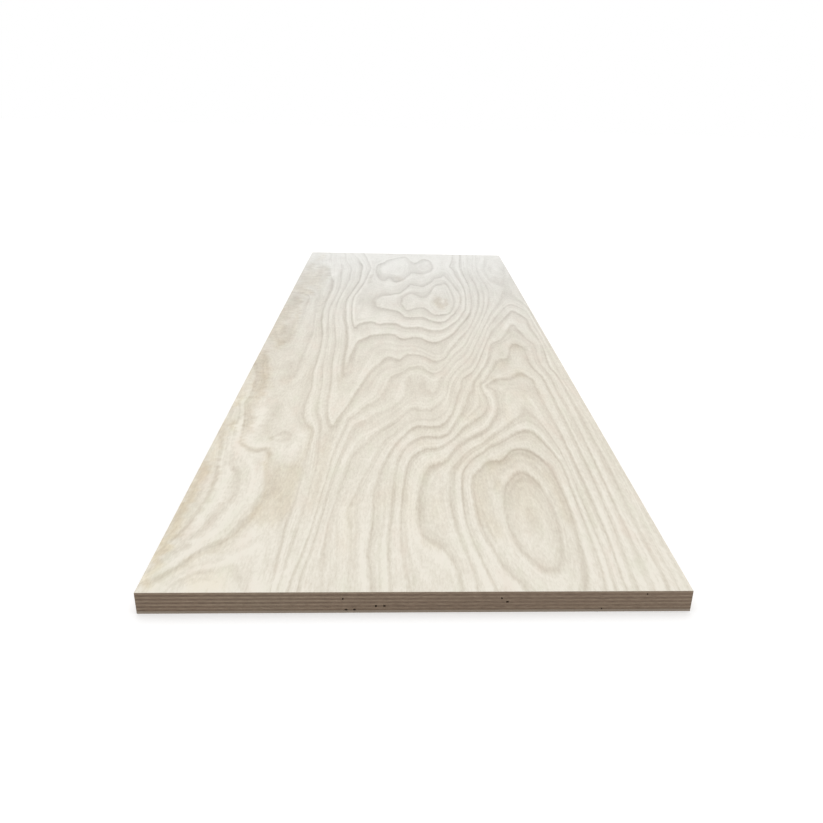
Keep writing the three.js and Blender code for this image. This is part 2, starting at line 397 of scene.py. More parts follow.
# The figure's growth lines: year, strength, and points across and along the sheet, in
# millimetres from the near left corner. A line that ends where it starts closes on itself. It
# is sharp on the side of the next year and shades off towards the year before.
growth_lines = {
    # The near hill, from its top down.
    "hill_1": (1, 0.8, [(300, 186), (283.5, 161), (279, 145), (276.5, 118), (278, 68), (290, 33),
        (298, 26), (306, 27), (311, 38), (318.5, 92), (314, 160), (300, 186)]),
    "hill_2": (2, 1.05, [(278, -4), (275, 10), (267, 24), (258, 62), (253, 94), (252, 145), (254.5, 175),
        (264, 193), (272, 208), (286, 211), (298, 233), (315, 233), (327.5, 207), (331.5, 180),
        (332.5, 110), (327.5, 26), (324, 10), (322.5, -4)]),
    "hill_3": (3, 1.3, [(257, -4), (243, 80), (242, 135), (245, 181), (251.5, 201)]),
    "hill_3_top": (3, 0.95, [(251.5, 201), (258, 214), (264, 222), (270, 229), (275, 238), (279, 243),
        (286, 249), (292, 256), (299, 264), (306, 273), (314, 280)]),
    "hill_3_right": (3, 1.15, [(314, 280), (325, 280), (333, 257), (342, 205), (341.5, 150), (340, 48),
        (336, -4)]),
    "hill_4": (4, 0.75, [(243, -4), (241.5, 28), (234, 80), (230.5, 132), (235, 186), (241.5, 201),
        (246.5, 212), (255, 228), (263, 239), (271.5, 248), (276, 256), (281, 265), (288, 274),
        (296, 285), (316, 316), (324, 330), (326.5, 344), (335, 313), (342.5, 270), (347, 215),
        (346.5, 60), (343, -4)]),
    "hill_5": (5, 1.1, [(231, -4), (230, 24), (222, 52), (209.5, 67), (204, 79), (202.5, 98), (204, 145),
        (210.5, 185), (216, 198), (230, 208), (244, 240), (259, 262), (277.5, 282), (281.5, 290),
        (285, 301), (291.5, 318), (297, 344), (298.5, 397), (291, 412), (309, 436), (322, 438),
        (340, 458), (350.5, 434)]),
    "hill_5_right": (5, 1.3, [(350.5, 434), (350.5, 415), (351, 355), (355, 271), (355.5, 95),
        (350, -4)]),
    "hill_6": (6, 0.95, [(193.5, -4), (187.5, 90), (193.5, 194), (205, 228), (213, 236), (226, 239),
        (243.5, 262), (253, 284), (276.5, 320), (284, 339), (286.5, 361), (283.5, 405), (285, 420),
        (291, 427), (298, 452), (307.5, 478), (311.5, 496), (318, 511), (328, 513), (332.5, 524),
        (341, 566), (346, 577), (354, 571), (359, 556), (357.5, 500), (360, 472), (364.5, 450)]),
    "hill_6_right": (6, 1.15, [(364.5, 450), (366, 412), (366.5, 310), (366, 150), (359.5, -4)]),
    "hill_7": (7, 0.85, [(180, -4), (177.5, 60), (179, 100), (182.5, 190), (191.5, 237), (208.5, 262),
        (230, 264), (238, 274), (258, 339), (267.5, 387), (272.5, 399), (274.5, 416), (280, 435),
        (300, 497), (311, 556), (317, 580), (331, 597), (342, 628), (354.5, 669), (358, 674), (361, 672),
        (362, 653), (364.5, 644), (367, 622), (370, 599), (376, 575), (371.5, 520), (371.5, 485),
        (375.5, 445), (375, 400), (377, 292), (372, -4)]),
    "hill_8": (8, 1.05, [(166.5, -4), (162, 55), (164, 90), (164, 152), (167.5, 172), (170, 196),
        (182.5, 245), (191, 266), (198.5, 282), (205, 290), (228, 290), (241.5, 315), (248.5, 346),
        (253.5, 378), (259.5, 406), (263, 431), (269.5, 446), (279, 462), (291.5, 506), (305.5, 567),
        (323.5, 639), (348.5, 706), (363, 742), (367.5, 753), (374, 744), (384.5, 705), (383.5, 660),
        (386.5, 580), (381.5, 488), (385.5, 442), (387, 290), (387, 190), (384, 80), (384, -4)]),
    "hill_9": (9, 0.3, [(150, -4), (148.5, 60), (146.5, 92), (143.5, 114), (150.5, 150), (152, 165),
        (156.5, 184), (171, 248), (180.5, 268), (193.5, 298), (207, 310), (219, 309), (227, 312),
        (240, 337), (243.5, 354), (250, 405), (258, 438), (265.5, 460), (276.5, 480), (283, 500),
        (288, 520), (292, 540), (299, 570), (306.5, 600)]),
    "hill_9_far": (9, 0.6, [(306.5, 600), (312.5, 630), (320, 660), (329.5, 690), (339, 720), (350, 750),
        (360.5, 778), (371, 793), (380, 781), (390.5, 745), (391, 650), (392.5, 600)]),
    "hill_9_2": (9, 0.3, [(390.5, 600), (390, 500), (389.5, 450), (392, 380), (395, 300), (394, 240),
        (394.5, 190), (389.5, 70), (390.5, 30), (390, -4)]),
    "hill_10": (10, 0.45, [(130, -4), (128, 80), (132.5, 140), (134, 165), (137.5, 190), (139.5, 215),
        (151.5, 246), (166, 277), (184.5, 306), (199, 338), (220, 336), (238.5, 372), (242.5, 390),
        (247.5, 430), (256, 460), (264, 480), (273, 500), (280.5, 520)]),
    "hill_10_far": (10, 0.6, [(280.5, 520), (286, 540), (292, 570), (299.5, 600), (306.5, 630),
        (313, 660), (320.5, 690), (327.5, 720), (336, 750), (345.5, 781), (357, 822), (365.5, 862),
        (374.5, 900), (377, 928), (381, 937), (385, 905), (384, 878), (382, 858), (390, 820),
        (397.5, 770), (397, 700), (397, 500)]),
    "hill_10_2": (10, 0.45, [(397, 500), (397.5, -4)]),
    "hill_11_near": (11, 0.8, [(113.5, -4), (114.5, 26), (117.5, 52), (121.5, 108), (125, 165),
        (129, 212), (136.5, 276), (140, 291), (153.5, 306)]),
    "hill_11": (11, 0.5, [(154, 304), (160, 320), (179, 344), (191.5, 372), (195.5, 415), (197.5, 437),
        (203, 446), (217, 439), (218, 402), (222, 391), (226, 386), (230, 395), (237, 435), (247, 460),
        (252, 480), (259, 500), (269, 520), (276.5, 540), (284, 570), (291, 600), (298, 630),
        (305.5, 660), (312.5, 690)]),
    "hill_11_far": (11, 0.8, [(312.5, 690), (319, 720), (325.5, 750), (331, 780), (337, 820), (341, 860),
        (342.5, 900), (341.5, 940)]),
    "hill_11_2": (11, 0.3, [(341.5, 940), (338.5, 980), (337, 1020), (338, 1060), (340.5, 1100),
        (345.5, 1150), (351, 1204)]),
    "hill_12_near": (12, 0.8, [(105.5, -4), (114.5, 76), (119.5, 168), (123, 235), (132.5, 304)]),
    "hill_12": (12, 0.65, [(131, 304), (150.5, 348), (158, 357), (163.5, 369), (172, 407), (174, 428),
        (177, 440), (192, 460), (198.5, 473), (215, 480), (221, 464), (228.5, 455), (237.5, 462),
        (245.5, 483), (251, 500), (256.5, 520), (264, 540), (276, 568), (284, 600), (291, 630),
        (298.5, 660), (306, 690), (313, 720), (319, 750), (324, 780), (329, 820), (332, 860), (333, 900),
        (333, 940)]),
    "hill_12_far": (12, 0.3, [(333, 940), (330, 980), (329.5, 1020), (330, 1060), (333, 1100),
        (338, 1150), (343, 1204)]),
    # The valley round the far hill.
    "valley_13_far": (13, 0.35, [(68, 1204), (73, 1180), (75, 1149), (78, 1120), (84, 1088),
        (92.5, 1062)]),
    "valley_13_left": (13, 0.75, [(93, 1000), (93.5, 940), (84.5, 810), (84.5, 730), (87, 688), (97, 582),
        (99.5, 500), (104, 420), (106, 345), (108.5, 315), (114, 291)]),
    "valley_13": (13, 0.95, [(114, 291), (119, 306), (128.5, 349), (145, 438), (154, 474), (160, 488),
        (168, 512), (175, 515), (186, 506), (197, 527), (216, 522), (231, 502), (246.5, 515),
        (252.5, 537), (262, 570), (271.5, 600), (283, 630), (292, 660), (298.5, 690), (304.5, 720),
        (310, 750), (315, 780), (319, 820), (322.5, 860), (323, 900), (323, 940), (320, 985)]),
    "valley_13_far_right": (13, 0.3, [(320, 985), (319.5, 1020), (320.5, 1060), (323, 1100),
        (330, 1204)]),
    "valley_14_far": (14, 0.7, [(82, 1204), (94, 1162), (105, 1128)]),
    "valley_14_left": (14, 1.35, [(111.5, 1080), (113.5, 1050), (113, 1010), (112.5, 945), (109.5, 915),
        (104.5, 870), (99.5, 824), (97.5, 785), (100.5, 735), (102.5, 700), (109, 645), (113.5, 586),
        (114, 520), (115, 478), (116.5, 456), (119, 472), (121, 507), (122.5, 538), (127.5, 583)]),
    "valley_14": (14, 1.4, [(128.5, 583), (142.5, 606), (152, 613), (175, 618), (186, 600), (193, 596),
        (208, 604), (215, 602), (228.5, 584), (242.5, 586), (265, 625), (275.5, 660), (294.5, 720),
        (304, 775)]),
    "valley_14_far_right": (14, 0.75, [(304, 775), (307.5, 820), (308.5, 860), (310.5, 900), (310, 935)]),
    "valley_14_corner": (14, 1.15, [(310, 935), (306.5, 1035), (307.5, 1104), (315.5, 1204)]),
    "valley_15": (15, 1.25, [(107.5, 1204), (117.5, 1152), (123.5, 1107), (128.5, 1070), (129, 1040),
        (125, 975), (121.5, 925), (118, 897), (113.5, 861), (109.5, 834), (109, 775), (113.5, 690)]),
    "valley_15_right": (15, 1.05, [(292, 757), (298.5, 830), (300, 905), (294.5, 978), (292, 1000),
        (292, 1030), (289, 1060), (286, 1080), (293, 1126), (300, 1204)]),
    "valley_15_low": (15, 0.95, [(113.5, 690), (119, 651), (126.5, 669), (143, 680), (156, 668),
        (163, 672), (182, 671), (189, 658), (197, 652), (217, 653), (231, 639), (250.5, 642), (264, 669),
        (277, 698), (291.5, 758)]),
    # The far hill: the arches behind its knot, and the knot.
    "far_15": (15, 1.15, [(141, 1070), (143.5, 1089), (150, 1099), (156, 1113), (161, 1129), (184, 1157),
        (192.5, 1164), (197, 1165), (201.5, 1155), (211, 1114), (219, 1108), (229, 1135), (236, 1144),
        (243, 1140), (248, 1126), (252, 1075), (250, 1051), (240, 1022), (224, 1011), (213, 1018),
        (208, 1012), (198, 980), (191, 957), (180, 941), (175, 945), (168.5, 969), (161.5, 960),
        (158, 951), (152, 955), (147.5, 970), (141, 1015), (141, 1070)]),
    "knot_16": (16, 0.95, [(147, 810), (151, 826), (157.5, 840), (170, 844), (178, 853), (186, 858),
        (199, 898), (205, 920), (213, 916), (222.5, 911), (229.5, 912), (245, 948), (250, 971),
        (264, 985), (269, 1000), (272.5, 985), (276, 967), (285, 904), (290.5, 845), (285.5, 785),
        (273.5, 732)]),
    "knot_16_low": (16, 1.4, [(273.5, 732), (267, 716), (256.5, 690), (241, 685), (222, 708), (211, 708),
        (202, 706), (194, 711), (184, 740), (164, 756), (154.5, 762), (147, 776), (147, 810)]),
    "knot_17_low": (17, 1.15, [(189, 788), (191.5, 831)]),
    "knot_17": (17, 0.75, [(191.5, 831), (206, 858), (222, 834), (229, 833), (235, 848), (240.5, 872),
        (250, 916), (259.5, 924), (268, 934), (272, 920), (277, 855), (276.5, 796), (268.5, 747)]),
    "knot_17_low_2": (17, 1.15, [(268.5, 747), (262, 730), (243, 722), (238, 727), (228, 758),
        (219.5, 766), (213, 762), (204, 752), (197, 748), (189, 788)]),
    # The left band and the near end's arch.
    "flame_9": (9, 0.15, [(-4, 645), (4, 628), (14, 590), (24, 556), (36.5, 568), (37.5, 612),
        (37.5, 660), (34.5, 770), (33, 827), (16, 850), (-4, 850)]),
    "left_10": (10, 0.5, [(57, 440), (60, 607), (56, 693), (50, 800)]),
    "left_10_far": (10, 0.12, [(45, 835), (37, 867), (22, 878), (-4, 886)]),
    "arch_10": (10, 0.6, [(18, -4), (25, 11), (31, 18), (37, 24), (45, 26), (52, 26), (58, 32), (63, 32),
        (67, 24), (72, 13), (78, 3), (82, -4)]),
    "left_11": (11, 0.85, [(95.5, -4), (94.5, 75), (95.5, 106), (97, 126), (98, 160), (96.5, 243),
        (96, 278), (90, 291), (85, 308), (81.5, 326), (81, 346)]),
    "band_11": (11, 0.6, [(-4, 8), (4, 14), (12.5, 20), (20, 31), (27, 43), (33.5, 56), (41.5, 64),
        (48, 71), (53, 82), (56.5, 96), (62, 106), (62.5, 127), (66.5, 152), (61.5, 190), (62, 208),
        (54.5, 232), (48, 228), (36, 235), (27, 250), (25, 271), (20.5, 310), (13, 354), (14.5, 370),
        (12, 431), (2, 478), (-4, 490)]),
    "left_11_far": (11, 0.1, [(49, 1058), (44, 1120), (40, 1204)]),
    "left_11_far_side": (11, 1.3, [(81, 346), (81, 375), (82, 400), (78.5, 458), (79, 521), (76.5, 600),
        (68, 680), (67, 705), (65, 735), (65.5, 815), (67.5, 885), (64.5, 957)]),
    "left_12": (12, 0.5, [(99.5, -4), (107.5, 180), (107, 225), (105, 257), (103.5, 285), (101, 305),
        (96.5, 325), (94, 350)]),
    "band_12": (12, 0.4, [(-4, 14), (4, 30), (12, 48), (18, 60), (22, 70), (26, 84), (30, 98), (35, 116),
        (38, 130), (38.5, 168), (26.5, 205), (18, 260), (13, 320), (4, 365), (-4, 380)]),
    "left_12_far": (12, 0.3, [(72, 1080), (66, 1130), (62, 1204)]),
    "left_12_far_side": (12, 0.7, [(94, 350), (93.5, 390), (92, 425), (89, 462), (87, 530), (84.5, 605),
        (81.5, 638), (74.5, 745), (76.5, 800), (80, 900), (78, 990)]),
    "band_13": (13, 0.4, [(-4, 38), (13, 84), (20, 150), (10, 240), (2, 266), (-4, 300)]),
    # The far right corner.
    "corner_10": (10, 0.35, [(355, 981), (353.5, 1000), (351, 1030), (350.5, 1058), (357, 1102),
        (363, 1150), (367, 1204)]),
}

# Places between the lines where the year is known: across, along, year and strength.
between_lines = [
    (125, 800, 15.55, 0.5), (135, 810, 15.85, 0.5), (118, 850, 15.3, 0.5), (130, 860, 15.6, 0.5),
    (45, 330, 10.5, 0.2), (50, 385, 10.55, 0.2), (32, 400, 10.6, 0.2), (35, 300, 10.6, 0.2),
    (68, 330, 10.75, 0.3), (68, 420, 10.6, 0.3), (30, 470, 10.2, 0.15), (12, 520, 10.3, 0.15),
    (40, 455, 10.3, 0.15), (48, 540, 9.6, 0.2), (48, 650, 9.5, 0.2), (44, 760, 9.5, 0.2),
    (10, 540, 9.6, 0.2), (12, 680, 8.8, 0.4), (20, 740, 8.8, 0.4), (10, 800, 8.85, 0.3),
    (5, 865, 9.5, 0.3), (35, 845, 9.6, 0.3), (25, 930, 10.4, 0.3), (25, 1000, 10.5, 0.3),
    (25, 1080, 10.5, 0.3), (20, 1160, 10.5, 0.3), (8, 950, 10.4, 0.3), (5, 1100, 10.5, 0.3),
    (45, 920, 10.6, 0.3), (62, 250, 10.7, 0.3), (72, 240, 10.6, 0.3), (298, 110, 0.35, 0.5),
    (175, 1060, 14.5, 0.5), (232, 1078, 14.5, 0.5), (214, 1060, 14.94, 0.5), (205, 800, 17.35, 0.5),
    (257, 808, 17.6, 0.5), (205, 420, 10.75, 0.5), (80, 160, 10.85, 0.5), (75, 85, 10.45, 0.5),
    (92, 12, 10.75, 0.5), (55, 60, 10.6, 0.5), (50, 5, 9.6, 0.5), (6, 4, 10.6, 0.3), (75, 230, 10.4, 0.5),
    (4, 150, 13.7, 0.5), (134, 1045, 15.35, 0.5), (134, 1100, 15.4, 0.5), (270, 1090, 15.45, 0.5),
    (270, 1160, 15.5, 0.5), (180, 1195, 15.6, 0.5),
]


def flowing(points, step):
    """Points along a smooth curve through the given ones: between two neighbours b and c, with
    a before and d after, a cubic that leaves b along c - a and meets c along d - b. It closes on
    itself where the first point is also the last. Places along the sheet are squeezed."""
    given = np.array(points, float) / (1.0, SQUEEZE)
    if points[0] == points[-1]:
        given = np.vstack([given[-2], given, given[1]])
    else:
        given = np.vstack([2 * given[0] - given[1], given, 2 * given[-1] - given[-2]])
    a, b, c, d = given[:-3], given[1:-2], given[2:-1], given[3:]
    counts = (np.hypot(*(c - b).T) / step).astype(int) + 1
    which = np.repeat(np.arange(len(b)), counts)
    first = np.concatenate([[0], np.cumsum(counts)[:-1]])
    t = ((np.arange(counts.sum()) - first[which]) / counts[which])[:, None]
    a, b, c, d = a[which], b[which], c[which], d[which]
    return 0.5 * (2 * b + (c - a) * t + (2 * a - 5 * b + 4 * c - d) * t**2
                  + (3 * b - a - 3 * c + d) * t**3)


def bend_kernel(squared):
    """How a thin plate bends round a point: r squared times the logarithm of r."""
    return 0.5 * squared * np.log(squared + 1e-9)


def squared_gaps(here, there):
    """The squared distance from each point here to each point there."""
    return ((here[:, None] - there[None]) ** 2).sum(-1)


def year_field(points, lines, extra):
    """The log's year at each point, as a thin plate bent to pass close by every growth line at
    its own year, and the strength of the nearest lines, whose hold falls with the fourth power
    of the distance. Inside, distances are in PLATE_UNIT."""
    curves = [flowing(route, LINE_STEP) for _, _, route in lines.values()]
    marks = np.repeat([line[:2] for line in lines.values()], [len(c) for c in curves], axis=0)
    extra = np.array(extra, float)
    knots = np.vstack([*curves, extra[:, :2] / (1.0, SQUEEZE)]) / PLATE_UNIT
    years, strengths = np.vstack([marks, extra[:, 2:]]).T.copy()
    count = len(knots)
    system = np.zeros((count + 3, count + 3))
    system[:count, :count] = bend_kernel(squared_gaps(knots, knots)) + PLATE_EASE * np.eye(count)
    system[:count, count] = system[count, :count] = 1.0
    system[:count, count + 1:] = knots
    system[count + 1:, :count] = knots.T
    pull = np.linalg.solve(system, np.concatenate([years, np.zeros(3)]))

    spots = points / (1.0, SQUEEZE) / PLATE_UNIT
    years_here, strengths_here = [], []
    for part in np.array_split(spots, max(1, len(spots) // AT_A_TIME)):
        gaps = squared_gaps(part, knots)
        years_here.append(bend_kernel(gaps) @ pull[:-3] + pull[-3] + part @ pull[-2:])
        near = (gaps + NEAREST) ** -2
        strengths_here.append(near @ strengths / near.sum(1))
    return np.concatenate(years_here), np.concatenate(strengths_here)


def leaf(name, bottom, top, upper):
    """A thin closed slab between two heights, in metres, over the whole sheet. Its outer side,
    the top or, where upper is False, the bottom, is a grid of cells, and its rim is eased by
    ARRIS: copies of the grid's border go round it at three heights. Returns the object and the
    grid's points in millimetres from the near left corner."""
    wide = CELLS_ACROSS + 1
    x, y = np.meshgrid(np.linspace(-HALF_WIDTH, HALF_WIDTH, wide) / MM,
                       np.linspace(-HALF_LENGTH, HALF_LENGTH, CELLS_ALONG + 1) / MM)
    index = np.arange(x.size).reshape(x.shape)
    border = np.concatenate([index[0, :-1], index[:-1, -1], index[-1, :0:-1], index[:0:-1, 0]])
    flat = np.stack([x.ravel(), y.ravel()], axis=1)
    inner = flat * (1.0 - ARRIS / np.array([HALF_WIDTH, HALF_LENGTH]) * MM)
    outer_height, inner_height = (top, bottom) if upper else (bottom, top)
    sign = 1.0 if upper else -1.0
    rims = [(flat[border] * 0.5 + inner[border] * 0.5, outer_height - sign * ARRIS * 0.3),
            (flat[border], outer_height - sign * ARRIS), (flat[border], inner_height)]
    points = np.vstack([np.column_stack([place, np.full(len(place), height)])
                        for place, height in [(inner, outer_height), *rims]])
    count = len(border)
    rings = [border, *(len(flat) + count * k + np.arange(count) for k in range(3))]
    sides = [np.stack([low, np.roll(low, -1), np.roll(high, -1), high], axis=1)
             for high, low in zip(rings[:-1], rings[1:])]
    faces = np.vstack([grid_faces(wide, CELLS_ALONG + 1), *sides]).tolist()

    # The glued side is plain: one strip across the sheet for each step along its two edges.
    base = rings[-1]
    turns = CELLS_ACROSS, CELLS_ACROSS + CELLS_ALONG, 2 * CELLS_ACROSS + CELLS_ALONG
    right = base[turns[0]:turns[1] + 1]
    left = np.concatenate([base[turns[2]:], base[:1]])[::-1]
    strips = np.stack([left[:-1], left[1:], right[1:], right[:-1]], axis=1)[1:-1].tolist()
    near = [*base[:turns[0] + 1][::-1].tolist(), int(left[1]), int(right[1])]
    far = [int(right[-2]), int(left[-2]), *base[turns[1]:turns[2] + 1][::-1].tolist()]
    faces += [*strips, near, far]
    if not upper:
        faces = [face[::-1] for face in faces]
    return mesh_object(name, points, faces), inner * MM + (HALF_WIDTH, HALF_LENGTH)


def write_attribute(sheet, name, values):
    """Keeps one number for each point of the mesh's grid, for its material to read."""
    attribute = sheet.data.attributes.new(name, "FLOAT", "POINT")
    kept = np.zeros(len(sheet.data.vertices), np.float32)
    kept[:len(values)] = values
    attribute.data.foreach_set("value", kept)


def brushed(points, strokes):
    """The sum of soft strokes at each point: steps of tone, and brown stain. A stroke is full
    along its smooth route, and falls off to either side as the bell curve of the distance over
    its reach, which is one for both sides or one to the left and one to the right. Its sides
    are frayed by a shift at random for each FRAY_STEP along the sheet, the same right across
    it and larger towards its left edge."""
    frayed = np.random.default_rng(5).normal(0.0, 1.0, int(2 * HALF_LENGTH / FRAY_STEP) + 1)
    fray = np.interp(points[:, 1], FRAY_STEP * np.arange(len(frayed)), frayed)
    fray *= np.interp(points[:, 0], FRAY_PLACES, FRAY_SHIFTS)
    spots = np.column_stack([points[:, 0] + fray, points[:, 1] / SQUEEZE])
    total = np.zeros((len(points), 2))
    for steps, stain, *reaches, route in strokes:
        left, right = reaches[0], reaches[-1]
        curve = flowing(route, STROKE_STEP)
        margin = CUT_OFF * max(left, right)
        near = np.all((spots > curve.min(0) - margin) & (spots < curve.max(0) + margin), axis=1)
        gaps = squared_gaps(spots[near], curve)
        closest = gaps.argmin(1)
        offset = spots[near] - curve[closest]
        ahead = np.gradient(curve, axis=0)[closest]
        on_left = ahead[:, 0] * offset[:, 1] > ahead[:, 1] * offset[:, 0]
        reach = np.where(on_left, left, right)
        total[near] += np.outer(np.exp(-gaps.min(1) / reach**2), (steps, stain))
    return total.T


